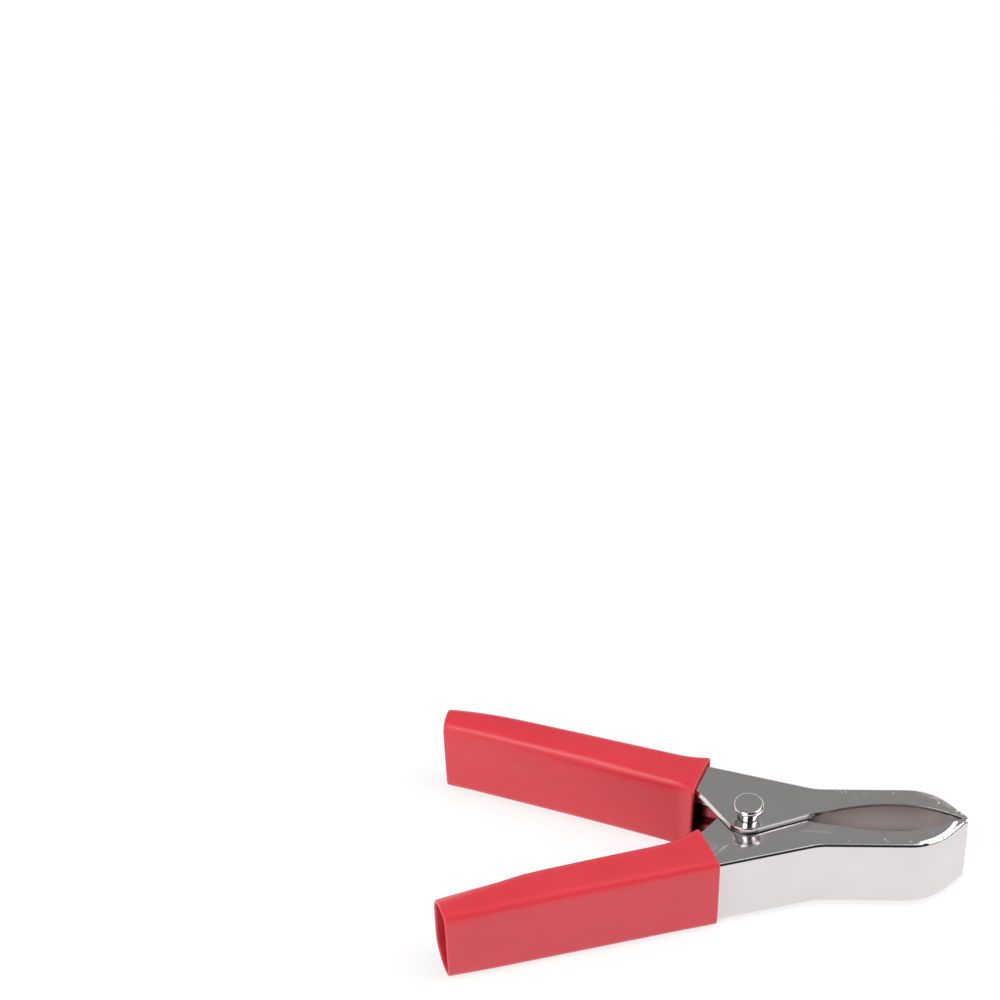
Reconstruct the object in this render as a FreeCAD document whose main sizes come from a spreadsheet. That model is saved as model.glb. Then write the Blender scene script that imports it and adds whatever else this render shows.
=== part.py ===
import FreeCAD, Part
import math
import os
import re
import Sketcher

# A sheet-steel battery clamp lying on its side. Two bent channel halves cross at a
# rivet, a torsion spring round the rivet keeps the jaw shut, and a soft red sleeve
# covers each handle. +X points to the jaw tip, +Z runs along the rivet, and the
# outer half, whose ears lie outside at the rivet, is the one at the back (+Y).

# Driving dimensions in mm and degrees. A half is drawn in plan with the rivet at
# its zero point: a "reach" is measured from the rivet towards the jaw tip, and a
# "half" from the line on which the two halves meet. Along a handle, lengths are
# measured from the rivet in the direction of the handle, and nose_length is
# measured back from the jaw tip.
SIZES = {
    # sheet-steel channel
    "sheet": 0.6,
    "channel_width": 11.4,
    "bend_radius": 0.5,
    # back of a half, from the jaw tip to the handle
    "tip_reach": 30.8,
    "nose_angle": 45.0,
    "nose_length": 4.95,
    "nose_radius": 8.0,
    "nose_half": 5.55,
    "waist_reach": 9.8,
    "waist_radius": 8.0,
    "handle_angle": 15.6,
    # free edge of the cheeks, from the jaw tip to the handle
    "bite_gap": 0.1,
    "bite_land": 0.8,
    "mouth_reach": 20.5,
    "mouth_half": 2.6,
    "mouth_corner": 8.2,
    "ear_radius": 3.4,
    "ear_rise": 50.0,
    "throat_radius": 18.0,
    "cheek_depth": 3.5,
    # teeth across the jaw tip
    "bite_teeth": 3,
    "bite_tooth_depth": 0.5,
    "bite_tooth_width": 1.5,
    # end of a handle with its wire crimp
    "cheek_end": 37.5,
    "cheek_slant": 2.5,
    "relief_length": 1.5,
    "crimp_length": 5.5,
    "crimp_depth": 2.4,
    "crimp_width": 8.0,
    "crimp_teeth": 3,
    "crimp_tooth_depth": 0.6,
    # inward offset of the inner half's ears
    "ear_gap": 0.15,
    "open_angle": 28.0,
    "joggle_clearance": 0.3,
    "joggle_shoulder": 2.6,
    "joggle_corner": 3.0,
    # rivet
    "rivet_diameter": 2.7,
    "rivet_clearance": 0.2,
    "head_diameter": 4.3,
    "head_thickness": 0.9,
    "head_edge": 0.25,
    "head_standoff": 1.8,
    "tail_diameter": 3.5,
    "tail_thickness": 0.45,
    # torsion spring
    "coil_diameter": 6.5,
    "coil_turns": 3,
    "coil_gap": 0.3,
    "coil_clearance": 0.8,
    "leg_length": 24.0,
    "leg_clearance": 0.05,
    # soft sleeves on the handles
    "sleeve_wall": 0.7,
    "sleeve_clearance": 0.2,
    "sleeve_slack": 1.6,
    "sleeve_lead": 0.77,
    "sleeve_length": 39.0,
    "sleeve_corner": 1.2,
    "sleeve_mouth_width": 7.3,
    "sleeve_mouth_height": 12.8,
    "sleeve_mouth_round": 0.8,
}

# How far a cutting outline runs past what it cuts.
SPARE = 3.0
# A boundary this close is the same one when edges are picked.
CLOSE = 0.02

# Lengths that follow from the driving dimensions. NOSE_TIP is the height at which
# the back of the nose ends, BACK the distance from the rivet to the handle's back.
BITE_HALF = "bite_gap / 2"
NOSE_TIP = "nose_half - nose_length * tan(nose_angle * 1deg)"
BACK = "(waist_reach * sin(handle_angle * 1deg) + nose_half * cos(handle_angle * 1deg))"
HANDLE_END = "(cheek_end + relief_length + crimp_length)"
RISE = "((ear_rise - handle_angle) * 1deg)"
JOGGLE_DEPTH = "(sheet + ear_gap)"
SLEEVE_GROWTH = "(sleeve_clearance + sleeve_wall)"
# The other half's ear sweeps this far back along the handle when the jaw opens.
SWEEP = "(ear_radius / sin((ear_rise - open_angle / 2) * 1deg))"
# The coil's wire fills the room between the inner half's ears.
COIL_ROOM = "(channel_width - 2 * (2 * sheet + ear_gap) - 2 * coil_clearance)"
WIRE = f"(({COIL_ROOM} - (coil_turns + 0.5) * coil_gap) / (coil_turns + 1.5))"

# The throat arc starts and ends at these lengths along the handle.
THROAT_TANGENT = f"throat_radius * tan({RISE} / 2)"
THROAT_CORNER = (f"((ear_radius / cos({RISE}) + {BACK} - cheek_depth)"
                 f" / tan({RISE}))")
THROAT_END = f"({THROAT_CORNER} + {THROAT_TANGENT})"
THROAT_START = f"({THROAT_CORNER} - {THROAT_TANGENT} * cos({RISE}))"
SLEEVE_START = f"({THROAT_START} - sleeve_lead)"
SLEEVE_END = f"({SLEEVE_START} + sleeve_length)"

# Centre of the whole clamp as seen from the rivet, so that the part stands on its
# own middle: the sleeve's open end is the far end in -X, the jaw tip that in +X.
SLEEVE_REACH = (f"({SLEEVE_END} * cos(handle_angle * 1deg) - ({BACK} + {SLEEVE_GROWTH}"
                f" - sleeve_mouth_width) * sin(handle_angle * 1deg))")
RIVET_X = f"({SLEEVE_REACH} - tip_reach) / 2"
MIDDLE_Z = f"channel_width / 2 + {SLEEVE_GROWTH}"

doc = FreeCAD.newDocument("BatteryClamp")
sizes = doc.addObject("Spreadsheet::Sheet", "Sizes")
for row, (alias, size) in enumerate(SIZES.items(), start=1):
    sizes.set(f"A{row}", alias)
    sizes.set(f"B{row}", str(size))
    sizes.setAlias(f"B{row}", alias)
doc.recompute()


def formula(text):
    """Point the sizes named in a formula at their spreadsheet cells."""
    return re.sub(r"[a-z_]+", lambda word: "Sizes." + word[0] if word[0] in SIZES else word[0],
                  str(text))


def value(text):
    """The number that a formula gives with the present sizes."""
    result = sizes.evalExpression(formula(text))
    return float(getattr(result, "Value", result))


def origin_plane(body, role):
    return [plane for plane in body.Origin.OriginFeatures if plane.Role == role][0]


def on_handle(along, outwards):
    """Plan point at a length along the handle and a distance from the rivet's line."""
    x = f"(({outwards}) * sin(handle_angle * 1deg) - ({along}) * cos(handle_angle * 1deg))"
    y = f"(({outwards}) * cos(handle_angle * 1deg) + ({along}) * sin(handle_angle * 1deg))"
    return x, y


def new_sketch(body, name, plane, lift="0", turn=None):
    """A sketch on an origin plane, lifted off it, or turned in line with a handle."""
    sketch = body.newObject("Sketcher::SketchObject", name)
    sketch.AttachmentSupport = [(origin_plane(body, plane), "")]
    sketch.MapMode = "FlatFace"
    axis = turn or FreeCAD.Vector(0, 0, 1)
    angle = value("handle_angle") if turn else 0
    sketch.AttachmentOffset = FreeCAD.Placement(
        FreeCAD.Vector(0, 0, value(lift)), FreeCAD.Rotation(axis, angle))
    sketch.setExpression(".AttachmentOffset.Base.z", formula(lift))
    if turn:
        sketch.setExpression(".AttachmentOffset.Rotation.Angle", formula("handle_angle * 1deg"))
    return sketch


def bind(sketch, kind, targets, text):
    """Add a dimension to a sketch and tie it to its formula."""
    amount = value(text)
    index = sketch.addConstraint(Sketcher.Constraint(kind, *targets, amount))
    name = f"{kind}{index}"
    sketch.renameConstraint(index, name)
    sketch.setExpression(f"Constraints.{name}", formula(text))


def place(sketch, geometry, end, x, y):
    """Place a point of a sketch at a pair of formulas."""
    if x == "0":
        sketch.addConstraint(Sketcher.Constraint("PointOnObject", geometry, end, -2))
    else:
        bind(sketch, "DistanceX", (-1, 1, geometry, end), x)
    if y == "0":
        sketch.addConstraint(Sketcher.Constraint("PointOnObject", geometry, end, -1))
    else:
        bind(sketch, "DistanceY", (-1, 1, geometry, end), y)


def corner(x, y, radius=None, bow=None):
    """One corner of an outline. A radius rounds it, and bow is the centre's x of the
    arc that leads on to the next corner instead of a straight line."""
    return {"x": str(x), "y": str(y), "radius": radius, "bow": bow}


def bow_arc(start, end, centre_x):
    """The shorter arc between two points whose centre has a given x."""
    rise = end.y - start.y
    square = end.dot(end) - start.dot(start)
    centre_y = (square - 2 * centre_x * (end.x - start.x)) / (2 * rise)
    centre = FreeCAD.Vector(centre_x, centre_y, 0)
    spokes = [start - centre, end - centre]
    forwards = spokes[0].cross(spokes[1]).z > 0
    if not forwards:
        spokes.reverse()
    angles = [math.atan2(spoke.y, spoke.x) for spoke in spokes]
    circle = Part.Circle(centre, FreeCAD.Vector(0, 0, 1), spokes[0].Length)
    return Part.ArcOfCircle(circle, *angles), forwards


def draw(sketch, corners, side=1):
    """Draw a closed outline through corners, mirrored in y for the other side."""
    if side < 0:
        corners = [item if item["y"] == "0" else dict(item, y=f"-({item['y']})")
                   for item in corners]
    points = [FreeCAD.Vector(value(item["x"]), value(item["y"]), 0) for item in corners]
    count = len(points)
    enters, leaves, rounds = [], [], []
    for index, item in enumerate(corners):
        here = points[index]
        if item["radius"] is None:
            enters.append(here)
            leaves.append(here)
            rounds.append(None)
            continue
        before = (here - points[index - 1]).normalize()
        after = (points[(index + 1) % count] - here).normalize()
        left = before.cross(after).z > 0
        radius = value(item["radius"])
        tangent = radius * math.tan(before.getAngle(after) / 2)
        enters.append(here - before * tangent)
        leaves.append(here + after * tangent)
        inwards = FreeCAD.Vector(-before.y, before.x, 0) * (1 if left else -1)
        centre = enters[-1] + inwards * radius
        spokes = [enters[-1] - centre, leaves[-1] - centre]
        if not left:
            spokes.reverse()
        angles = [math.atan2(spoke.y, spoke.x) for spoke in spokes]
        circle = Part.Circle(centre, FreeCAD.Vector(0, 0, 1), radius)
        rounds.append((Part.ArcOfCircle(circle, *angles), left))

    starts, ends = [], []
    for index, item in enumerate(corners):
        begin, finish = leaves[index], enters[(index + 1) % count]
        if item["bow"] is None:
            edge = sketch.addGeometry(Part.LineSegment(begin, finish), False)
            starts.append((edge, 1))
            ends.append((edge, 2))
            continue
        arc, forwards = bow_arc(begin, finish, value(item["bow"]))
        edge = sketch.addGeometry(arc, False)
        starts.append((edge, 1 if forwards else 2))
        ends.append((edge, 2 if forwards else 1))
    for index, item in enumerate(corners):
        arriving, leaving = ends[index - 1], starts[index]
        if rounds[index] is None:
            sketch.addConstraint(Sketcher.Constraint("Coincident", *arriving, *leaving))
            place(sketch, *leaving, item["x"], item["y"])
            continue
        shape, left = rounds[index]
        arc = sketch.addGeometry(shape, False)
        first, last = (1, 2) if left else (2, 1)
        sketch.addConstraint(Sketcher.Constraint("Tangent", *arriving, arc, first))
        sketch.addConstraint(Sketcher.Constraint("Tangent", arc, last, *leaving))
        bind(sketch, "Radius", (arc,), item["radius"])
        point = sketch.addGeometry(Part.Point(points[index]), True)
        place(sketch, point, 1, item["x"], item["y"])
        sketch.addConstraint(Sketcher.Constraint("PointOnObject", point, 1, arriving[0]))
        sketch.addConstraint(Sketcher.Constraint("PointOnObject", point, 1, leaving[0]))
    for index, item in enumerate(corners):
        if item["bow"] is not None:
            bind(sketch, "DistanceX", (-1, 1, starts[index][0], 3), item["bow"])
    return sketch


def extrude(body, kind, name, sketch, length, both_ways=False):
    """A pad or a pocket of a sketch, one way or evenly to both sides."""
    feature = body.newObject(f"PartDesign::{kind}", name)
    feature.Profile = sketch
    if both_ways:
        feature.SideType = "Symmetric"
    feature.Length = value(length)
    feature.setExpression("Length", formula(length))
    return feature


def mirrored(body, name, originals):
    """Repeat features on the other side of the channel's middle."""
    feature = body.newObject("PartDesign::Mirrored", name)
    feature.Originals = originals
    feature.MirrorPlane = (origin_plane(body, "XY_Plane"), [""])
    body.Tip = feature
    return feature


def round_bends(body, side):
    """Round the two long bends between the web and the cheeks."""
    doc.recompute()
    block = body.Tip
    half_width = value("channel_width") / 2
    back_limit = value(NOSE_TIP) - CLOSE
    far_end = value(on_handle(HANDLE_END, BACK)[0])
    names = []
    for index, edge in enumerate(block.Shape.Edges, start=1):
        middle = edge.CenterOfMass
        at_face = abs(abs(middle.z) - half_width) < CLOSE
        inside = far_end + CLOSE < middle.x < value("tip_reach") - CLOSE
        if at_face and inside and middle.y * side > back_limit:
            names.append(f"Edge{index}")
    bends = body.newObject("PartDesign::Fillet", "Bends")
    bends.Base = (block, names)
    bends.Radius = value("bend_radius")
    bends.setExpression("Radius", formula("bend_radius"))
    return bends


def joggle_outline(growth):
    """Area of a cheek that is set inwards: all that the other half's ear sweeps."""
    front = f"(mouth_corner + joggle_clearance + 2 * {growth})"
    rear = f"-({SWEEP} + joggle_clearance + {growth})"
    line = f"(ear_radius + joggle_clearance + {growth})"
    skirt = f"-(ear_radius + {SPARE})"
    slope = "sin(handle_angle * 1deg)"
    return [corner(front, skirt),
            corner(front, f"({line} - {front} * {slope}) / cos(handle_angle * 1deg)",
                   radius="joggle_corner"),
            corner(rear, f"({line} - {rear} * {slope}) / cos(handle_angle * 1deg)",
                   radius="joggle_corner"),
            corner(rear, skirt)]


def add_joggle(body, side):
    """Set the ears inwards by one sheet and the gap, over a sloping shoulder."""
    features = []
    for kind, face in (("Additive", "(channel_width / 2 - sheet)"),
                       ("Subtractive", "(channel_width / 2)")):
        sections = []
        for name, growth, drop in (("Rim", "joggle_shoulder", "0"), ("Floor", "0", JOGGLE_DEPTH)):
            sketch = new_sketch(body, f"{kind}{name}", "XY_Plane", f"{face} - {drop}")
            sections.append(draw(sketch, joggle_outline(growth), side))
        loft = body.newObject(f"PartDesign::{kind}Loft", f"{kind}Joggle")
        loft.Profile = sections[0]
        loft.Sections = sections[1:]
        loft.Ruled = True
        features.append(loft)
    mirrored(body, "FarJoggle", features)


def add_handle_end(body, side):
    """Cut the cheeks off on the slant and form the wire crimp on the web beyond."""
    turn_flat = FreeCAD.Vector(0, 0, -side)
    web = f"({BACK} - sheet)"
    below = f"({BACK} - cheek_depth - {SPARE})"
    slant = f"(cheek_slant / cheek_depth * ({BACK} - {below}))"
    beyond = f"-({HANDLE_END} + {SPARE})"
    ends = draw(new_sketch(body, "CheekEnds", "XY_Plane", turn=turn_flat), [
        corner("-cheek_end + cheek_slant / cheek_depth * sheet", web),
        corner(beyond, web),
        corner(beyond, below),
        corner(f"-cheek_end + {slant}", below)], side)
    extrude(body, "Pocket", "CheekEnd", ends, f"channel_width + {SPARE}", both_ways=True)

    # Beyond the cheeks the web narrows to the crimp's width on both sides.
    strip = draw(new_sketch(body, "SideStrip", "XZ_Plane",
                            turn=FreeCAD.Vector(0, -side, 0)), [
        corner("-cheek_end", "crimp_width / 2"),
        corner("-cheek_end", f"channel_width / 2 + {SPARE}"),
        corner(beyond, f"channel_width / 2 + {SPARE}"),
        corner(beyond, "crimp_width / 2")])
    narrow = extrude(body, "Pocket", "Narrow", strip, f"2 * ({HANDLE_END})", both_ways=True)
    mirrored(body, "NarrowFar", [narrow])

    # A crimp ear stands on each edge of the web, with a toothed free edge.
    tip = f"{BACK} - sheet - crimp_depth"
    root = f"-({HANDLE_END} - crimp_length)"
    outline = [corner(f"-{HANDLE_END}", BACK), corner(root, BACK)]
    teeth = int(SIZES["crimp_teeth"])
    for tooth in range(teeth):
        valley = f"({root}) - crimp_length * {tooth} / crimp_teeth"
        peak = f"({root}) - crimp_length * ({tooth} + 0.5) / crimp_teeth"
        outline.append(corner(valley, f"{tip} + crimp_tooth_depth"))
        outline.append(corner(peak, tip))
    outline.append(corner(f"-{HANDLE_END}", f"{tip} + crimp_tooth_depth"))
    ear = draw(new_sketch(body, "CrimpSide", "XY_Plane", "crimp_width / 2 - sheet",
                          turn=turn_flat), outline, side)
    crimp = extrude(body, "Pad", "CrimpEar", ear, "sheet")
    mirrored(body, "CrimpEarFar", [crimp])


def add_bite_teeth(body, side):
    """File notches across the end of the web, so that teeth stay between them."""
    notches = new_sketch(body, "BiteNotches", "YZ_Plane", f"tip_reach + {SPARE}")
    count = int(SIZES["bite_teeth"])
    for number in range(count):
        middle = f"channel_width * (({number} + 0.5) / bite_teeth - 0.5)"
        draw(notches, [
            corner(f"{side} * ({BITE_HALF} - bite_tooth_depth)",
                   f"{middle} - bite_tooth_width"),
            corner(f"{side} * ({BITE_HALF} + bite_tooth_depth)", middle),
            corner(f"{side} * ({BITE_HALF} - bite_tooth_depth)",
                   f"{middle} + bite_tooth_width")])
    extrude(body, "Pocket", "BiteTeeth", notches, f"{SPARE} + 2 * bite_land")


def build_half(label, side, joggled):
    """One half: a channel with cheeks above and below and its web at the back."""
    body = doc.addObject("PartDesign::Body", label)
    body.Label = label
    skirt = f"-(ear_radius + {SPARE})"
    back_end = on_handle(HANDLE_END, BACK)

    block = draw(new_sketch(body, "Back", "XY_Plane"), [
        corner("tip_reach", NOSE_TIP),
        corner("tip_reach - nose_length", "nose_half", radius="nose_radius"),
        corner("waist_reach", "nose_half", radius="waist_radius"),
        corner(*back_end),
        corner(back_end[0], skirt),
        corner("tip_reach", skirt)], side)
    extrude(body, "Pad", "Blank", block, "channel_width", both_ways=True)
    round_bends(body, side)

    over = f"(tip_reach + {SPARE})"
    past_end = on_handle(f"{HANDLE_END} + {SPARE}", f"{BACK} - sheet")
    hollow = draw(new_sketch(body, "Inside", "XY_Plane"), [
        corner(over, f"{NOSE_TIP} - sheet / cos(nose_angle * 1deg)"
               f" - {SPARE} * tan(nose_angle * 1deg)"),
        corner("tip_reach - nose_length - sheet * tan(nose_angle * 1deg / 2)",
               "nose_half - sheet", radius="nose_radius - sheet"),
        corner("waist_reach - sheet * tan(handle_angle * 1deg / 2)", "nose_half - sheet",
               radius="waist_radius + sheet"),
        corner(*past_end),
        corner(past_end[0], f"{skirt} - {SPARE}"),
        corner(over, f"{skirt} - {SPARE}")], side)
    extrude(body, "Pocket", "Hollow", hollow, "channel_width - 2 * sheet", both_ways=True)
    if joggled:
        add_joggle(body, side)

    # The ear is round about the rivet and runs on as a tangent to the mouth's corner
    # and, on the handle's side, as a rising tangent into the throat.
    ear_half = "((90deg + ear_rise * 1deg - acos(ear_radius / mouth_corner)) / 2)"
    ear_way = "((90deg + ear_rise * 1deg + acos(ear_radius / mouth_corner)) / 2)"
    throat = on_handle(THROAT_CORNER, f"{BACK} - cheek_depth")
    edge_end = on_handle(f"{HANDLE_END} + {SPARE}", f"{BACK} - cheek_depth")
    free_edge = draw(new_sketch(body, "FreeEdge", "XY_Plane"), [
        corner(over, BITE_HALF),
        corner("tip_reach - bite_land", BITE_HALF, bow="mouth_reach"),
        corner("mouth_reach", "mouth_half", bow="mouth_reach"),
        corner("mouth_corner", "0"),
        corner(f"ear_radius / cos({ear_half}) * cos({ear_way})",
               f"-ear_radius / cos({ear_half}) * sin({ear_way})", radius="ear_radius"),
        corner(*throat, radius="throat_radius"),
        corner(*edge_end),
        corner(edge_end[0], f"{skirt} - {SPARE}"),
        corner(over, f"{skirt} - {SPARE}")], side)
    extrude(body, "Pocket", "Trim", free_edge, f"channel_width + {SPARE}", both_ways=True)

    add_handle_end(body, side)
    add_bite_teeth(body, side)
    hole = new_sketch(body, "RivetCircle", "XY_Plane")
    circle = hole.addGeometry(Part.Circle(FreeCAD.Vector(0, 0, 0), FreeCAD.Vector(0, 0, 1),
                                          value("rivet_diameter / 2")), False)
    hole.addConstraint(Sketcher.Constraint("Coincident", circle, 3, -1, 1))
    bind(hole, "Diameter", (circle,), "rivet_diameter + rivet_clearance")
    extrude(body, "Pocket", "RivetHole", hole, f"channel_width + {SPARE}", both_ways=True)
    return body


def build_rivet():
    """A round rivet that stands proud of the outer half's upper ear."""
    body = doc.addObject("PartDesign::Body", "pivot_rivet")
    body.Label = "pivot_rivet"
    face = "channel_width / 2"
    under_head = f"({face} + head_standoff)"
    top = f"({under_head} + head_thickness)"
    profile = draw(new_sketch(body, "RivetSide", "XZ_Plane"), [
        corner("0", f"-{face} - tail_thickness"),
        corner("tail_diameter / 2 - tail_thickness / 2", f"-{face} - tail_thickness"),
        corner("tail_diameter / 2", f"-{face} - tail_thickness / 2"),
        corner("tail_diameter / 2", f"-{face}"),
        corner("rivet_diameter / 2", f"-{face}"),
        corner("rivet_diameter / 2", under_head),
        corner("head_diameter / 2 - head_edge", under_head),
        corner("head_diameter / 2", f"{under_head} + head_edge"),
        corner("head_diameter / 2", f"{top} - head_edge"),
        corner("head_diameter / 2 - head_edge", top),
        corner("0", top)])
    turned = body.newObject("PartDesign::Revolution", "Turned")
    turned.Profile = profile
    turned.ReferenceAxis = (profile, ["V_Axis"])
    turned.Angle = 360
    return body


def build_spring():
    """A coil round the rivet with one straight leg along the web of each half."""
    body = doc.addObject("PartDesign::Body", "torsion_spring")
    body.Label = "torsion_spring"
    centreline = f"((coil_diameter - {WIRE}) / 2)"
    pitch = f"({WIRE} + coil_gap)"
    seat = f"({BACK} - sheet - {WIRE} / 2 - leg_clearance)"
    tilt = (f"(asin({seat} / sqrt({centreline}^2 + leg_length^2))"
            f" - atan({centreline} / leg_length))")
    leg_angle = f"(handle_angle * 1deg + {tilt})"
    turns = f"(coil_turns + 0.5 - {leg_angle} / 180deg)"
    rise = f"({turns} * {pitch})"

    # The wire starts where the front half's leg touches the foot of the coil, and it
    # winds upwards to where the rear half's leg leaves the coil's head.
    ends = {}
    for name, way in (("Foot", -1), ("Head", 1)):
        sketch = body.newObject("Sketcher::SketchObject", f"Wire{name}")
        sketch.AttachmentSupport = [(origin_plane(body, "XZ_Plane"), "")]
        sketch.MapMode = "FlatFace"
        turn = FreeCAD.Rotation(FreeCAD.Vector(0, way, 0), value(f"90deg - {leg_angle}"))
        sketch.AttachmentOffset = FreeCAD.Placement(FreeCAD.Vector(0, 0, 0), turn)
        sketch.setExpression(".AttachmentOffset.Rotation.Angle", formula(f"90deg - {leg_angle}"))
        centre = FreeCAD.Vector(value(centreline), way * value(rise) / 2, 0)
        ring = sketch.addGeometry(Part.Circle(centre, FreeCAD.Vector(0, 0, 1),
                                              value(WIRE) / 2), False)
        place(sketch, ring, 3, centreline, f"{way} * {rise} / 2")
        bind(sketch, "Diameter", (ring,), WIRE)
        ends[name] = sketch
    coil = body.newObject("PartDesign::AdditiveHelix", "Coil")
    coil.Profile = ends["Foot"]
    coil.ReferenceAxis = (ends["Foot"], ["V_Axis"])
    coil.Mode = "pitch-turns-angle"
    coil.Pitch = value(pitch)
    coil.Turns = value(turns)
    coil.setExpression("Pitch", formula(pitch))
    coil.setExpression("Turns", formula(turns))
    extrude(body, "Pad", "FrontLeg", ends["Foot"], "leg_length")
    rear_leg = extrude(body, "Pad", "RearLeg", ends["Head"], "leg_length")
    rear_leg.Reversed = True
    return body


def build_sleeve(label, side):
    """A soft tube: wide over the ears, flat along the handle, round at its open end."""
    body = doc.addObject("PartDesign::Body", label)
    body.Label = label
    # Depth of the space inside, measured in from the handle's back, and the rounding
    # of the two corners on the free side. The tube is tight on the ears only.
    rising = f"{BACK} + ear_radius / cos({RISE})"
    start_depth = f"({rising} - {SLEEVE_START} * tan({RISE}))"
    tangent_depth = f"({rising} - {THROAT_START} * tan({RISE}))"
    slack_depth = "(cheek_depth + sleeve_slack)"
    height = f"(channel_width + 2 * {SLEEVE_GROWTH})"
    mouth_round = "(sleeve_mouth_round * (sleeve_mouth_width - sleeve_corner))"
    stations = [(SLEEVE_START, start_depth, height, "sleeve_corner"),
                (THROAT_START, tangent_depth, height, "sleeve_corner"),
                (f"({THROAT_START} + {THROAT_END}) / 2", slack_depth, height, "sleeve_corner"),
                ("(cheek_end - cheek_slant)", slack_depth, height, "sleeve_corner"),
                (SLEEVE_END, f"(sleeve_mouth_width - 2 * {SLEEVE_GROWTH})",
                 "sleeve_mouth_height", mouth_round)]
    for kind, name, inset in (("Additive", "Skin", "0"), ("Subtractive", "Bore", "sleeve_wall")):
        sections = []
        for number, (along, depth, tall, bend) in enumerate(stations):
            back = f"{-side} * ({BACK} + {SLEEVE_GROWTH} - {inset})"
            front = f"{-side} * ({BACK} - {depth} - {SLEEVE_GROWTH} + {inset})"
            edge = f"({tall} / 2 - {inset})"
            near, far = f"sleeve_corner - {inset}", f"{bend} - {inset}"
            sketch = new_sketch(body, f"{name}Section{number}", "YZ_Plane", along)
            sections.append(draw(sketch, [
                corner(back, edge, radius=near),
                corner(front, edge, radius=far),
                corner(front, f"-{edge}", radius=far),
                corner(back, f"-{edge}", radius=near)]))
        tube = body.newObject(f"PartDesign::{kind}Loft", name)
        tube.Profile = sections[0]
        tube.Sections = sections[1:]
        tube.Ruled = True
    body.Placement = FreeCAD.Placement(
        FreeCAD.Vector(0, 0, 0),
        FreeCAD.Rotation(FreeCAD.Vector(0, 0, side), value("180 - handle_angle")))
    body.setExpression(".Placement.Rotation.Angle", formula("180deg - handle_angle * 1deg"))
    return body


bodies = [build_half("outer_jaw_half", 1, joggled=False),
          build_half("inner_jaw_half", -1, joggled=True),
          build_rivet(),
          build_spring(),
          build_sleeve("front_sleeve", -1),
          build_sleeve("rear_sleeve", 1)]
for body in bodies:
    body.Placement.Base = FreeCAD.Vector(value(RIVET_X), 0, value(MIDDLE_Z))
    body.setExpression(".Placement.Base.x", formula(RIVET_X))
    body.setExpression(".Placement.Base.z", formula(MIDDLE_Z))
doc.recompute()

for item in doc.Objects:
    if "Invalid" in item.State or "Error" in item.State:
        raise RuntimeError(f"{item.Name} did not build: {item.State}")
for body in bodies:
    if body.Shape.isNull() or not body.Shape.isValid() or len(body.Shape.Solids) != 1:
        raise RuntimeError(f"{body.Label} is not one whole solid")

os.makedirs("parts", exist_ok=True)
for body in bodies:
    body.Shape.exportStep(f"parts/{body.Label}.step")
    print(f"{body.Label}: {body.Shape.Volume:.1f} mm3")
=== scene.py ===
import math

import bpy
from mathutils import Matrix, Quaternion, Vector


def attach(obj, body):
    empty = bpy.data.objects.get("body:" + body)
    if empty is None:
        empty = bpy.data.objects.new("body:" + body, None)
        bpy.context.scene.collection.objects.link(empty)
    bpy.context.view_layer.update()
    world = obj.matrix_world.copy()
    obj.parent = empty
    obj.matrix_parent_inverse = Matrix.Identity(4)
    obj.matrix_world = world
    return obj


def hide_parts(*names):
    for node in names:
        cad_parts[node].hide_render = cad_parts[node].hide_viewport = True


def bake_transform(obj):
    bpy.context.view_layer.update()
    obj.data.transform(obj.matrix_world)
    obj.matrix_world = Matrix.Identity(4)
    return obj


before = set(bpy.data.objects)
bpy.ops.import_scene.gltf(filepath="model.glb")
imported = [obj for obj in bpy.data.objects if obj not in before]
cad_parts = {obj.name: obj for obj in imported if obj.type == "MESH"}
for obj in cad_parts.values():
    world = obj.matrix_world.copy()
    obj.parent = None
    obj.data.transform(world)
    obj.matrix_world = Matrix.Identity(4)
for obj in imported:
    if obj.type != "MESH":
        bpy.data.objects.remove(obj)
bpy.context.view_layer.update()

MM = 0.001

# Plan of the clamp: the rivet's place and the lean of a handle.
RIVET = Vector((6.634, 0.0, 6.6)) * MM
HANDLE_ANGLE = math.radians(15.6)

# Sheet of the halves: the level of its upper face, how far the ears lie from the
# rivet's level, the width of its broken edges and the lean of a sheared one.
SHEET_TOP = 12.25 * MM
EAR_LEVEL = 4.9 * MM
SHEET_EDGE = 0.13 * MM
EDGE_LEAN = 0.33
MERGE = 0.002 * MM
FLAT = math.radians(0.4)
SHARP = math.radians(40)
SMOOTH = math.radians(38)

# Noses as the plating's masks need them, in mm: each side's arc about its bend, and
# the line x + |y| that its straight end follows.
BEND_X = 29.17
BEND_Y = 2.45
NOSE_RADIUS = 8.0
NOSE_LINE = 38.03

# The spring's wire, as long as the coil and its two legs.
WIRE = 1.344 * MM
WIRE_SIDES = 20
COIL_RADIUS = 2.578 * MM
COIL_RISE = 5.523 * MM
COIL_TURNS = 3.3584
COIL_STEPS = 150
LEG_ANGLE = math.radians(25.48)
LEG_LENGTH = 24.0 * MM
LEG_TIP = 0.15 * MM
LEG_TIP_SCALE = 0.75
CLOSE = 0.02 * MM
ROUND = math.radians(50)

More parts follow.
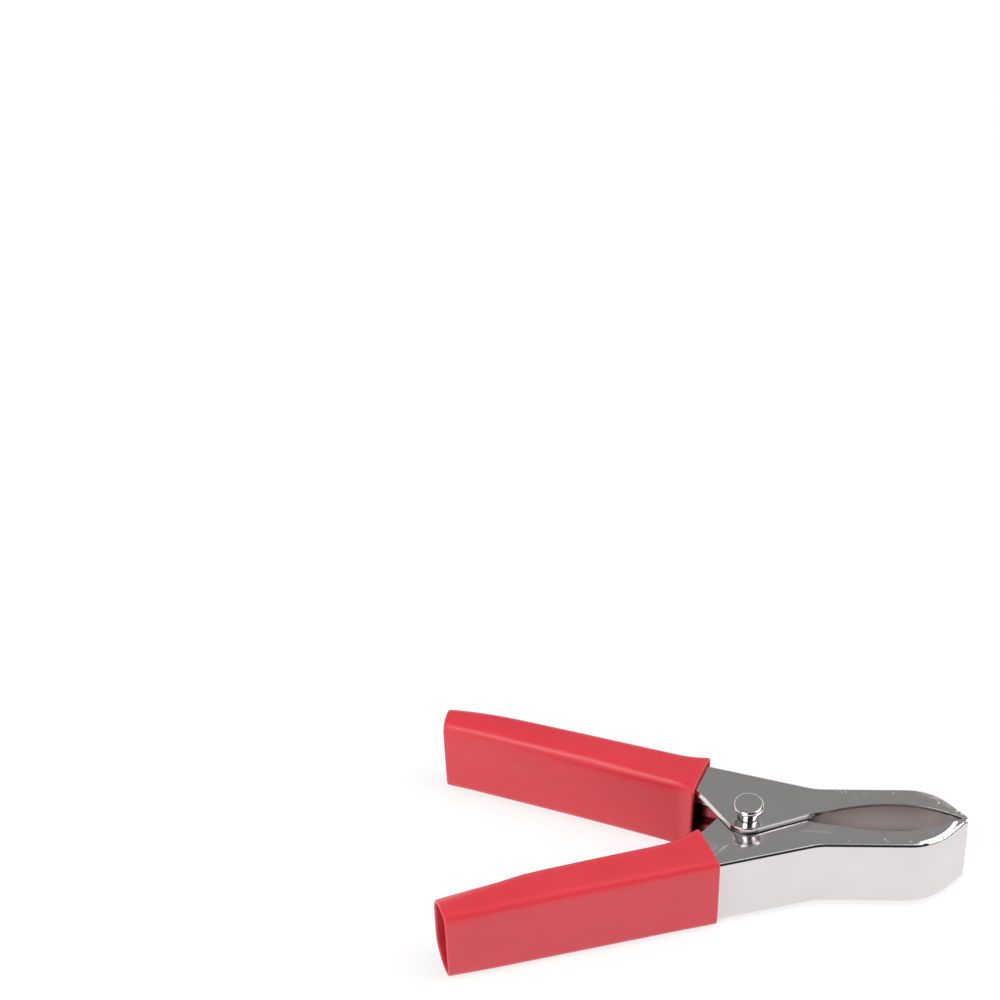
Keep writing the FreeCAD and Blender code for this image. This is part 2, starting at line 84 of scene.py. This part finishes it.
# A sleeve's outside, ring by ring from the ears to its open end, in mm: length along
# the handle, how much further along the free side and the top lie, distances of the
# web's side and of the free side from the rivet's line, height, and the rounding of
# the corners: web's side low and high, free side high and low.
SLEEVE_WALL = 0.55 * MM
CORNER_STEPS = 5
FRONT_RINGS = [
    (6.65, 0.9, 0.3, 8.65, 0.5, 13.3, (1.6, 1.0, 1.4, 1.4)),
    (7.05, 0.9, 0.3, 8.62, 0.7, 13.25, (1.6, 1.1, 1.4, 1.4)),
    (9.1, 0.5, 0.1, 8.6, 1.1, 13.2, (1.6, 1.2, 1.6, 1.6)),
    (11.0, 0.2, 0.0, 8.6, 1.65, 13.2, (1.7, 1.2, 1.7, 1.7)),
    (13.0, 0.0, 0.0, 8.6, 1.9, 13.2, (1.7, 1.2, 1.7, 1.7)),
    (19.0, 0.0, 0.0, 8.6, 1.84, 13.2, (1.7, 1.3, 1.8, 1.8)),
    (28.0, 0.0, 0.0, 8.6, 1.88, 13.2, (1.7, 1.5, 2.0, 2.0)),
    (32.5, 0.0, 0.0, 8.6, 1.92, 13.2, (1.7, 1.5, 2.1, 2.1)),
    (35.2, 0.0, 0.0, 8.6, 2.08, 13.2, (1.7, 1.4, 2.3, 2.3)),
    (37.6, 0.0, 0.1, 8.6, 2.35, 13.15, (1.7, 1.3, 2.5, 2.5)),
    (41.4, 0.0, 0.4, 8.55, 2.1, 13.0, (1.7, 1.4, 3.2, 3.0)),
    (45.65, 0.0, 1.0, 8.5, 2.1, 12.9, (1.8, 1.8, 3.9, 3.6)),
    (46.1, 0.0, 1.1, 8.5, 2.15, 12.9, (1.8, 1.9, 3.9, 3.6)),
]
REAR_RINGS = [
    (7.4, 0.85, 0.1, 9.0, 1.5, 13.3, (1.2, 1.0, 1.3, 1.3)),
    (7.8, 0.85, 0.1, 8.92, 1.75, 13.28, (1.2, 1.0, 1.3, 1.3)),
    (9.6, 0.4, 0.2, 8.65, 2.38, 13.22, (1.5, 1.2, 1.5, 1.5)),
    (11.5, 0.0, 0.0, 8.6, 2.5, 13.2, (1.5, 1.3, 1.6, 1.6)),
    (15.7, 0.0, 0.0, 8.6, 2.7, 13.25, (1.6, 1.3, 1.8, 1.8)),
    (21.6, 0.0, 0.0, 8.65, 3.0, 13.3, (1.7, 1.3, 2.0, 2.0)),
    (28.0, 0.0, 0.0, 8.7, 3.3, 13.3, (1.7, 1.3, 2.1, 2.1)),
    (34.0, 0.0, 0.1, 8.75, 3.6, 13.3, (1.7, 1.3, 2.0, 2.1)),
    (37.5, 0.0, 0.3, 8.75, 3.8, 13.25, (1.7, 1.3, 1.8, 2.0)),
    (41.0, 0.0, 0.6, 8.7, 4.1, 13.1, (1.7, 1.4, 1.7, 1.8)),
    (44.2, 0.0, 1.1, 8.5, 4.15, 12.95, (1.7, 1.6, 1.8, 1.7)),
    (44.6, 0.0, 1.2, 8.45, 4.2, 12.9, (1.7, 1.7, 1.9, 1.7)),
]

# Colours of the finishes, and of painted shade and a painted reflection: red, green and blue.
BRIGHT_PLATING = (0.75, 0.715, 0.72)
CLOUDED_PLATING = (0.68, 0.65, 0.65)
WIRE_PLATING = (0.66, 0.64, 0.62)
CLOUDED_WIRE = (0.58, 0.56, 0.54)
# Painted shade: the darker colour inside the noses, between the upper and lower sheet.
PAINTED_SHADE_INSIDE = (0.42, 0.35, 0.34)
# Painted reflection: the sleeves mirrored in shade on the web's inside beside the rivet.
PAINTED_SLEEVE_REFLECTION = (0.12, 0.02, 0.022)
DEEP_RED = (0.63, 0.028, 0.044)
PALER_RED = (0.71, 0.038, 0.058)

# The paper that the clamp lies on: its own shade, and the shade and the glow that the
# camera and the mirrors see.
PAPER_SIZE = 6
PAPER_SHADE = (0.85, 0.85, 0.85, 1)
SEEN_SHADE = (0.28, 0.28, 0.28, 1)
SEEN_GLOW = 0.74

# The room: where the dark board over the camera has its middle, and how dark the
# board and the card at the right are.
BOARD_MIDDLE = 0.16
BOARD_DARK = 0.95
CARD_DARK = 0.9

# Lamps: name, place in metres, size, power, and whether the gloss of the clamp shows
# them and whether they light what isn't glossy.
LAMPS = (
    ("key_light", (-0.30, -0.55, 0.59), 0.4, 2.3, True, True),
    ("top_light", (0.1, -0.05, 0.9), 0.5, 3.2, False, True),
    ("left_light", (-0.7, -0.1, 0.2), 0.3, 1.6, False, True),
    ("right_box", (0.50, -0.02, 0.50), 0.34, 1.5, True, True),
    ("nose_box", (0.27, 0.286, 0.60), 0.32, 0.6, True, False),
)

# The camera: its place in metres, its turns in degrees and its lens in mm.
EYE_PLACE = (-0.081435, -0.816473, 0.897884)
EYE_AZIMUTH = -3.579
EYE_ELEVATION = 45.192
EYE_ROLL = 3.182
EYE_SENSOR = 36
EYE_LENS = 311.6
EYE_NEAREST = 0.01


# Ways of working

def deselect():
    if bpy.context.object and bpy.context.object.mode != "OBJECT":
        bpy.ops.object.mode_set(mode="OBJECT")
    bpy.ops.object.select_all(action="DESELECT")


def hold(piece):
    """Make one piece the selected and active one."""
    deselect()
    piece.select_set(True)
    bpy.context.view_layer.objects.active = piece


def pick(piece, test):
    """Go into the held piece's mesh with only the vertices selected that pass a test."""
    bpy.ops.object.mode_set(mode="EDIT")
    bpy.ops.mesh.select_mode(type="VERT")
    bpy.ops.mesh.select_all(action="DESELECT")
    bpy.ops.object.mode_set(mode="OBJECT")
    for vertex in piece.data.vertices:
        vertex.select = test(vertex.co)
    bpy.ops.object.mode_set(mode="EDIT")


def shift(piece, test, *move):
    """Move the held piece's vertices that pass a test by so many mm."""
    pick(piece, test)
    bpy.ops.transform.translate(value=[distance * MM for distance in move])


def between(low, measure, high):
    """Whether a measure lies between two limits in mm."""
    return low * MM < measure < high * MM


def finish_with(piece, kind, **settings):
    """Add a modifier, set it and apply it."""
    hold(piece)
    modifier = piece.modifiers.new(kind.title(), kind)
    for name, setting in settings.items():
        setattr(modifier, name, setting)
    bpy.ops.object.modifier_apply(modifier=modifier.name)


def settle(piece):
    """Put the piece's place into its mesh."""
    hold(piece)
    bpy.ops.object.transform_apply(location=True, rotation=True, scale=True)


def outwards(piece):
    """Turn all faces of a piece outwards."""
    hold(piece)
    bpy.ops.object.mode_set(mode="EDIT")
    bpy.ops.mesh.select_all(action="SELECT")
    bpy.ops.mesh.normals_make_consistent(inside=False)
    bpy.ops.object.mode_set(mode="OBJECT")


def dress(piece, material):
    """Give a piece its one material."""
    piece.data.materials.clear()
    piece.data.materials.append(material)


# Materials

class Socket:
    """An output socket with arithmetic: each operation adds its Math node."""

    def __init__(self, shop, output):
        self.shop = shop
        self.output = output

    def beside(self, name):
        """Another output of the same node."""
        return Socket(self.shop, self.output.node.outputs[name])

    def __add__(self, other):
        return self.shop.maths("ADD", self, other)

    def __radd__(self, other):
        return self.shop.maths("ADD", other, self)

    def __sub__(self, other):
        return self.shop.maths("SUBTRACT", self, other)

    def __rsub__(self, other):
        return self.shop.maths("SUBTRACT", other, self)

    def __mul__(self, other):
        return self.shop.maths("MULTIPLY", self, other)

    def __rmul__(self, other):
        return self.shop.maths("MULTIPLY", other, self)

    def __abs__(self):
        return self.shop.maths("ABSOLUTE", self)


class Shop:
    """A node tree, filled by one method."""

    def __init__(self, tree):
        self.tree = tree

    def feed(self, target, value):
        """Link a socket to an input, or set the input to a plain value."""
        if isinstance(value, Socket):
            self.tree.links.new(value.output, target)
        else:
            target.default_value = value

    def node(self, kind, settings=None, inputs=None, output=0):
        """Add a node with its settings and inputs, and return one of its outputs."""
        node = self.tree.nodes.new(kind)
        for name, setting in (settings or {}).items():
            if name == "stops":
                self.set_stops(node.color_ramp, setting)
            else:
                setattr(node, name, setting)
        for name, value in (inputs or {}).items():
            self.feed(node.inputs[name], value)
        return Socket(self, node.outputs[output])

    def set_stops(self, ramp, stops):
        """The two stops that a ramp starts with become its ends, and the rest go between."""
        ends = zip(ramp.elements, (stops[0], stops[-1]))
        for stop, (place, shade) in list(ends):
            stop.position = place
            stop.color = (shade, shade, shade, 1)
        for place, shade in stops[1:-1]:
            ramp.elements.new(place).color = (shade, shade, shade, 1)

    def maths(self, operation, *values):
        return self.node("ShaderNodeMath", {"operation": operation}, dict(enumerate(values)))

    def axes(self, vector):
        """The three numbers of a vector."""
        split = self.node("ShaderNodeSeparateXYZ", inputs={0: vector})
        return [split.beside(axis) for axis in "XYZ"]

    def ramp(self, measure, *stops):
        """Shades along a measure. Each stop is a place on it and a shade, in rising order."""
        start = stops[0][0]
        span = stops[-1][0] - start
        places = [((place - start) / span, shade) for place, shade in stops]
        return self.node("ShaderNodeValToRGB", {"stops": places},
                         {"Fac": (measure - start) * (1 / span)})

    def noise(self, scale, detail, stretch=(1, 1, 1)):
        """Soft noise, with so many waves to the metre."""
        place = self.node("ShaderNodeTexCoord", output="Object")
        place = self.node("ShaderNodeMapping", inputs={"Vector": place, "Scale": stretch})
        return self.node("ShaderNodeTexNoise", inputs={
            "Vector": place, "Scale": scale, "Detail": detail}, output="Fac")

    def blend(self, factor, first, second):
        """Mix two colours. Each is a socket or its red, green and blue."""
        first, second = ((*colour, 1) if isinstance(colour, tuple) else colour
                         for colour in (first, second))
        return self.node("ShaderNodeMix", {"data_type": "RGBA"}, {
            "Factor": factor, 6: first, 7: second}, output=2)

    def bump(self, height, strength, distance):
        return self.node("ShaderNodeBump", inputs={
            "Height": height, "Strength": strength, "Distance": distance})


class Finish(Shop):
    """A material's shop: what is set goes to its shader."""

    def __init__(self, name):
        self.material = bpy.data.materials.new(name)
        self.material.use_nodes = True
        super().__init__(self.material.node_tree)
        self.shader = self.tree.nodes["Principled BSDF"]

    def set(self, **values):
        for name, value in values.items():
            self.feed(self.shader.inputs[name.replace("_", " ")], value)


class Plating(Finish):
    """Plated steel's shop. It measures places on the clamp in mm: along it, away from
    its middle line and up."""

    def __init__(self, name):
        super().__init__(name)
        self.place = self.node("ShaderNodeTexCoord", output="Object")
        self.along, across, self.up = (axis * (1 / MM) for axis in self.axes(self.place))
        self.aside = abs(across)
        self.on_top = self.ramp(self.up, (11.5, 0.0), (11.85, 1.0))

        past_bend = self.maths("MAXIMUM", self.along - BEND_X, 0.0)
        spoke = self.node("ShaderNodeCombineXYZ", inputs={0: past_bend, 1: self.aside + BEND_Y})
        self.from_bend = self.node("ShaderNodeVectorMath", {"operation": "LENGTH"}, {0: spoke},
                                   output="Value")
        self.from_line = NOSE_LINE - self.along - self.aside

    def nose_rim(self):
        """The noses' edge on top, rolled over by the press, and the lumps that lie inside it."""
        from_rim = self.maths("MINIMUM", self.from_line * math.sqrt(0.5),
                              NOSE_RADIUS - self.from_bend)
        at_nose = self.on_top * self.ramp(self.along, (29.5, 0.0), (32.0, 1.0))
        rolled = at_nose * self.ramp(from_rim, (0.45, 1.0), (1.0, 0.0))
        pressed = at_nose * self.ramp(from_rim, (0.5, 1.0), (1.33, 0.7), (3.0, 0.0))
        return rolled, self.noise(850, 1) * pressed

    def flank_specks(self):
        """Small marks in patches, along the top of each flank of the jaw."""
        strip = (self.ramp(self.aside, (3.4, 0.0), (4.51, 1.0), (5.62, 0.0))
                 * self.ramp(self.along, (17.0, 0.0), (19.5, 1.0), (29.5, 0.4)) * self.on_top)
        dots = self.node("ShaderNodeTexVoronoi", inputs={"Vector": self.place, "Scale": 1900},
                         output="Distance")
        patches = self.ramp(self.noise(420, 1), (0.46, 0.0), (0.58, 1.0))
        return self.ramp(dots, (0.05, 1.0), (0.26, 0.0)) * strip * patches

    def jaw_inside_shade(self):
        """The inside of the noses, between the halves' upper and lower sheet, where shade is
        painted into the colour and the plating is rougher.
        """
        in_arch = self.ramp(self.from_bend, (7.5, 1.0), (7.9, 0.0))
        in_end = (self.ramp(self.from_line, (0.5, 0.0), (0.8, 1.0))
                  * self.ramp(self.along, (34.0, 0.0), (34.5, 1.0)))
        within = self.ramp(self.up, (1.31, 0.0), (1.5, 1.0), (11.5, 1.0), (11.69, 0.0))
        return (self.maths("MAXIMUM", in_arch, in_end) * within
                * self.ramp(self.along, (12.0, 0.0), (16.0, 1.0)))

    def painted_reflection_beside_sleeves(self):
        """The web's inside beside the rivet, where a reflection of the sleeves, dark red as in
        shade, is painted into the colour.
        """
        depth = (self.aside * math.cos(HANDLE_ANGLE)
                 - (RIVET.x / MM - self.along) * math.sin(HANDLE_ANGLE))
        return (self.ramp(depth, (6.4, 0.0), (6.73, 1.0), (7.57, 1.0), (8.0, 0.0))
                * self.ramp(self.up, (1.31, 0.0), (1.5, 1.0), (11.0, 1.0), (11.25, 0.0))
                * self.ramp(self.along, (-6.0, 0.0), (-3.0, 1.0), (3.5, 1.0), (6.0, 0.0)))


def plated_steel(name, light, dark, roughness):
    """Bright plated steel: a soft mirror with a slight cloud and the marks of the press, with
    painted shade inside the noses and a painted reflection of the sleeves beside the rivet.
    """
    shop = Plating(name)
    rolled, lumps = shop.nose_rim()
    specks = shop.flank_specks()
    inside = shop.jaw_inside_shade()
    tone = shop.blend(shop.noise(160, 3), light, dark)
    # Shade painted into the colour inside the noses.
    tone = shop.blend(inside, tone, PAINTED_SHADE_INSIDE)
    # A reflection of the sleeves, dark as in shade, painted into the colour beside the rivet.
    tone = shop.blend(shop.painted_reflection_beside_sleeves(), tone, PAINTED_SLEEVE_REFLECTION)
    grain = shop.noise(900, 3, stretch=(1, 0.2, 1))
    height = 0.15 * shop.noise(120, 1) + 0.8 * lumps - 0.75 * rolled + 0.24 * specks
    shop.set(Base_Color=tone,
             Metallic=1.0,
             Roughness=roughness + 0.08 * grain + 0.2 * specks + 0.22 * inside,
             Normal=shop.bump(height, strength=0.5, distance=0.4 * MM))
    return shop.material


def soft_vinyl(name):
    """Dipped vinyl under a soft coat: red with a slight cloud and faint pleats along it."""
    shop = Finish(name)
    pleats = shop.noise(260, 2, stretch=(0.25, 1, 1))
    height = 0.3 * shop.noise(500, 3) + 2.0 * pleats
    shop.set(Base_Color=shop.blend(shop.noise(90, 3), DEEP_RED, PALER_RED),
             Roughness=0.32 + 0.1 * shop.noise(400, 3),
             Normal=shop.bump(height, strength=0.22, distance=0.5 * MM),
             Coat_Weight=0.2,
             Coat_Roughness=0.25,
             Subsurface_Weight=0.25,
             Subsurface_Scale=1.2 * MM,
             Subsurface_Radius=(1.0, 0.25, 0.2))
    return shop.material


plated = plated_steel("plated_sheet", BRIGHT_PLATING, CLOUDED_PLATING, 0.11)
plated_wire = plated_steel("plated_wire", WIRE_PLATING, CLOUDED_WIRE, 0.2)
vinyl = soft_vinyl("red_vinyl")


# Metal pieces

def draw_in_ears(piece):
    """Press the rim of the rear ears in a little, and lean the upper one's sheared edge."""
    def on_ear(point):
        return abs(point.z - RIVET.z) > EAR_LEVEL

    def handle_flank(point):
        return on_ear(point) and between(-2.9, point.x, 0.2) and between(3.0, point.y, 5.6)

    def sheared_rim(point):
        beside_hole = (point - RIVET).xy.length > 1.6 * MM
        on_rim = point.x < 17 * MM and point.y < 2.8 * MM
        return point.z > SHEET_TOP and on_rim and beside_hole

    def sheared_flank(point):
        in_flank = between(-2.0, point.x, 1.5) and between(3.0, point.y, 5.8)
        return point.z > SHEET_TOP and in_flank

    shift(piece, handle_flank, 1.1, 0.1, 0)
    pick(piece, lambda point: on_ear(point) and point.y < -1.6 * MM)
    bpy.ops.transform.resize(value=(1, 0.82, 1), center_override=tuple(RIVET))
    shift(piece, sheared_rim, 0, EDGE_LEAN, 0)
    shift(piece, sheared_flank, EDGE_LEAN, 0, 0)
    bpy.ops.object.mode_set(mode="OBJECT")


def sheet_piece(node, name, body):
    """A pressed piece with the sharp edges of its sheet taken off."""
    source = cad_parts[node]
    piece = source.copy()
    piece.data = source.data.copy()
    piece.name = name
    bpy.context.scene.collection.objects.link(piece)
    hold(piece)
    bpy.ops.object.mode_set(mode="EDIT")
    bpy.ops.mesh.select_all(action="SELECT")
    bpy.ops.mesh.remove_doubles(threshold=MERGE)
    bpy.ops.mesh.dissolve_limited(angle_limit=FLAT)
    bpy.ops.object.mode_set(mode="OBJECT")
    if node == "outer_jaw_half":
        draw_in_ears(piece)
    finish_with(piece, "BEVEL", width=SHEET_EDGE, segments=3, limit_method="ANGLE",
                angle_limit=SHARP, use_clamp_overlap=True)
    bpy.ops.object.shade_smooth_by_angle(angle=SMOOTH)
    finish_with(piece, "WEIGHTED_NORMAL", keep_sharp=True)
    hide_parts(node)
    dress(piece, plated)
    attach(piece, body)


def add_leg(spring, root, along):
    """Draw one end of the coil out as a straight leg, and close it with a narrowed tip."""
    def coil_end(point):
        spoke = point - root
        return spoke.length < WIRE / 2 + CLOSE and abs(spoke.dot(along)) < CLOSE

    pick(spring, coil_end)
    for step in (LEG_LENGTH - LEG_TIP, LEG_TIP):
        bpy.ops.mesh.extrude_region_move(TRANSFORM_OT_translate={"value": tuple(along * step)})
    bpy.ops.transform.resize(value=[LEG_TIP_SCALE] * 3,
                             center_override=tuple(root + along * LEG_LENGTH))
    bpy.ops.mesh.edge_face_add()
    bpy.ops.object.mode_set(mode="OBJECT")


def wire_spring():
    """The coil is one turned ring of wire, and its ends run out as straight legs."""
    deselect()
    foot = RIVET.z - COIL_RISE / 2
    bpy.ops.mesh.primitive_circle_add(
        vertices=WIRE_SIDES, radius=WIRE / 2, location=(COIL_RADIUS, 0, 0),
        rotation=(math.pi / 2, 0, 0))
    spring = bpy.context.object
    spring.name = "spring_wire"
    settle(spring)
    finish_with(spring, "SCREW", angle=2 * math.pi * COIL_TURNS, screw_offset=COIL_RISE,
                steps=COIL_STEPS, render_steps=COIL_STEPS, axis="Z")
    hold(spring)
    spring.rotation_euler = (0, 0, LEG_ANGLE - math.pi / 2)
    spring.location = (RIVET.x, 0, foot)
    settle(spring)
    for way, level in ((-1, foot), (1, foot + COIL_RISE)):
        along = Vector((-math.cos(LEG_ANGLE), way * math.sin(LEG_ANGLE), 0))
        spoke = Vector((math.sin(LEG_ANGLE), way * math.cos(LEG_ANGLE), 0))
        add_leg(spring, Vector((RIVET.x, 0, level)) + COIL_RADIUS * spoke, along)
    outwards(spring)
    bpy.ops.object.shade_smooth_by_angle(angle=ROUND)
    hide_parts("torsion_spring")
    dress(spring, plated_wire)
    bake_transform(spring)


sheet_piece("outer_jaw_half", "outer_half_plated", "rear_body")
sheet_piece("inner_jaw_half", "inner_half_plated", "front_body")
sheet_piece("pivot_rivet", "rivet_plated", "rear_body")
wire_spring()


# Sleeves

def round_corner(ring, width, test):
    """Round one corner of a ring by so many mm."""
    pick(ring, test)
    bpy.ops.mesh.bevel(offset=width * MM, segments=CORNER_STEPS, affect="VERTICES")
    bpy.ops.object.mode_set(mode="OBJECT")


def sleeve_ring(side, along, lean, tilt, back, free, height, corners):
    """One cross-section of a sleeve: a rectangle, each corner with its own rounding."""
    deselect()
    depth = back - free
    bpy.ops.mesh.primitive_plane_add(size=1, rotation=(0, math.pi / 2, 0))
    ring = bpy.context.object
    ring.scale = (height * MM, depth * MM, 1)
    settle(ring)
    near = 0.49 * MM
    for width, (web, up) in zip(corners, ((1, -1), (1, 1), (-1, 1), (-1, -1))):
        round_corner(ring, width, lambda point: point.y * side * web > depth * near
                     and point.z * up > height * near)
    hold(ring)
    bpy.ops.object.mode_set(mode="EDIT")
    bpy.ops.mesh.select_all(action="SELECT")
    bpy.ops.mesh.delete(type="ONLY_FACE")
    bpy.ops.object.mode_set(mode="OBJECT")
    ring.rotation_euler = (0, -math.atan2(tilt, height), -side * math.atan2(lean, depth))
    ring.location = (-(along + lean / 2) * MM, side * (back + free) / 2 * MM,
                     height / 2 * MM - RIVET.z)
    settle(ring)
    return ring


def bridge_rings(tube, ring_count, ring_size):
    """Bridge the rings of a joined tube one after another."""
    hold(tube)
    bpy.ops.object.mode_set(mode="EDIT")
    bpy.ops.mesh.select_mode(type="EDGE")
    for index in range(ring_count - 1):
        bpy.ops.mesh.select_all(action="DESELECT")
        bpy.ops.object.mode_set(mode="OBJECT")
        for edge in tube.data.edges:
            first, second = (vertex // ring_size for vertex in edge.vertices)
            edge.select = first == second and first in (index, index + 1)
        bpy.ops.object.mode_set(mode="EDIT")
        bpy.ops.mesh.bridge_edge_loops()
    bpy.ops.object.mode_set(mode="OBJECT")


def sleeve(name, side, ring_rows, node, body):
    """A soft tube: rings bridged one after another, then thickened and smoothed."""
    rings = [sleeve_ring(side, *row) for row in ring_rows]
    ring_size = len(rings[0].data.vertices)
    deselect()
    for ring in rings:
        ring.select_set(True)
    tube = rings[0]
    bpy.context.view_layer.objects.active = tube
    bpy.ops.object.join()
    tube.name = name
    bridge_rings(tube, len(ring_rows), ring_size)
    outwards(tube)
    finish_with(tube, "SOLIDIFY", thickness=SLEEVE_WALL, offset=-1, use_even_offset=True)
    finish_with(tube, "SUBSURF", levels=2, render_levels=2)
    hold(tube)
    bpy.ops.object.shade_smooth()
    tube.rotation_euler = (0, 0, -side * HANDLE_ANGLE)
    tube.location = RIVET
    settle(tube)
    outwards(tube)
    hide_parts(node)
    dress(tube, vinyl)
    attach(tube, body)


sleeve("front_sleeve_soft", -1, FRONT_RINGS, "front_sleeve", "front_grip")
sleeve("rear_sleeve_soft", 1, REAR_RINGS, "rear_sleeve", "rear_grip")


# Studio

def paper_floor():
    """White paper: seen straight or in a mirror it glows, and it keeps the shadow."""
    deselect()
    bpy.ops.mesh.primitive_plane_add(size=PAPER_SIZE)
    floor = bpy.context.object
    floor.name = "floor"
    paper = Finish("white_paper")
    paper.set(Base_Color=PAPER_SHADE, Roughness=0.9, Specular_IOR_Level=0.0)
    ray = paper.node("ShaderNodeLightPath")
    direct = sum((ray.beside(f"Is {kind} Ray")
                  for kind in ("Camera", "Glossy", "Transmission")), 0.0)
    lit = paper.node("ShaderNodeBsdfDiffuse", inputs={"Color": SEEN_SHADE})
    glow = paper.node("ShaderNodeEmission", inputs={"Strength": SEEN_GLOW})
    seen = paper.node("ShaderNodeAddShader", inputs={0: lit, 1: glow})
    plain = Socket(paper, paper.shader.outputs[0])
    both = paper.node("ShaderNodeMixShader", inputs={"Fac": direct, 1: plain, 2: seen})
    paper.feed(paper.tree.nodes["Material Output"].inputs["Surface"], both)
    floor.data.materials.append(paper.material)


def room_light(scene):
    """A pale room that is dimmer higher up, with a dark board over the camera and a dark
    card low at the right for the plating to mirror. Places in it are directions."""
    scene.world = bpy.data.worlds.new("studio")
    scene.world.use_nodes = True
    room = Shop(scene.world.node_tree)
    x, y, z = room.axes(room.node("ShaderNodeTexCoord", output="Generated"))
    wall = room.ramp(z, (0.0, 1.0), (0.22, 0.85), (0.46, 0.34), (1.0, 0.28))
    board = (room.ramp(y, (-0.98, 0.0), (-0.94, 1.0), (-0.16, 1.0), (0.06, 0.0))
             * room.ramp(abs(x - BOARD_MIDDLE), (0.38, 1.0), (0.58, 0.0))
             * room.ramp(z, (0.22, 0.0), (0.32, 1.0)))
    card = room.ramp(x, (0.82, 0.0), (0.90, 1.0)) * room.ramp(z, (0.34, 1.0), (0.42, 0.0))
    light = wall * (1.0 - BOARD_DARK * board) * (1.0 - CARD_DARK * card)
    room.feed(room.tree.nodes["Background"].inputs["Color"], light)


def lamp(name, place, size, power, glossy, diffuse):
    """A square lamp that faces the clamp."""
    bpy.ops.object.light_add(type="AREA", location=place)
    light = bpy.context.object
    light.name = name
    light.data.size = size
    light.data.energy = power
    light.visible_glossy = glossy
    light.visible_diffuse = diffuse
    light.rotation_euler = Vector(place).to_track_quat("Z", "Y").to_euler()


def camera(scene):
    """A long lens in front of the clamp, half-way up and a little to the left."""
    azimuth, elevation, roll = (
        math.radians(turn) for turn in (EYE_AZIMUTH, EYE_ELEVATION, EYE_ROLL))
    back = Vector((math.sin(azimuth) * math.cos(elevation),
                   -math.cos(azimuth) * math.cos(elevation), math.sin(elevation)))
    bpy.ops.object.camera_add(location=EYE_PLACE)
    eye = bpy.context.object
    eye.rotation_mode = "QUATERNION"
    eye.rotation_quaternion = back.to_track_quat("Z", "Y") @ Quaternion((0, 0, 1), roll)
    eye.data.sensor_width = EYE_SENSOR
    eye.data.lens = EYE_LENS
    eye.data.clip_start = EYE_NEAREST
    scene.camera = eye


paper_floor()
room_light(bpy.context.scene)
for row in LAMPS:
    lamp(*row)
camera(bpy.context.scene)
bpy.context.scene.view_settings.view_transform = "Standard"
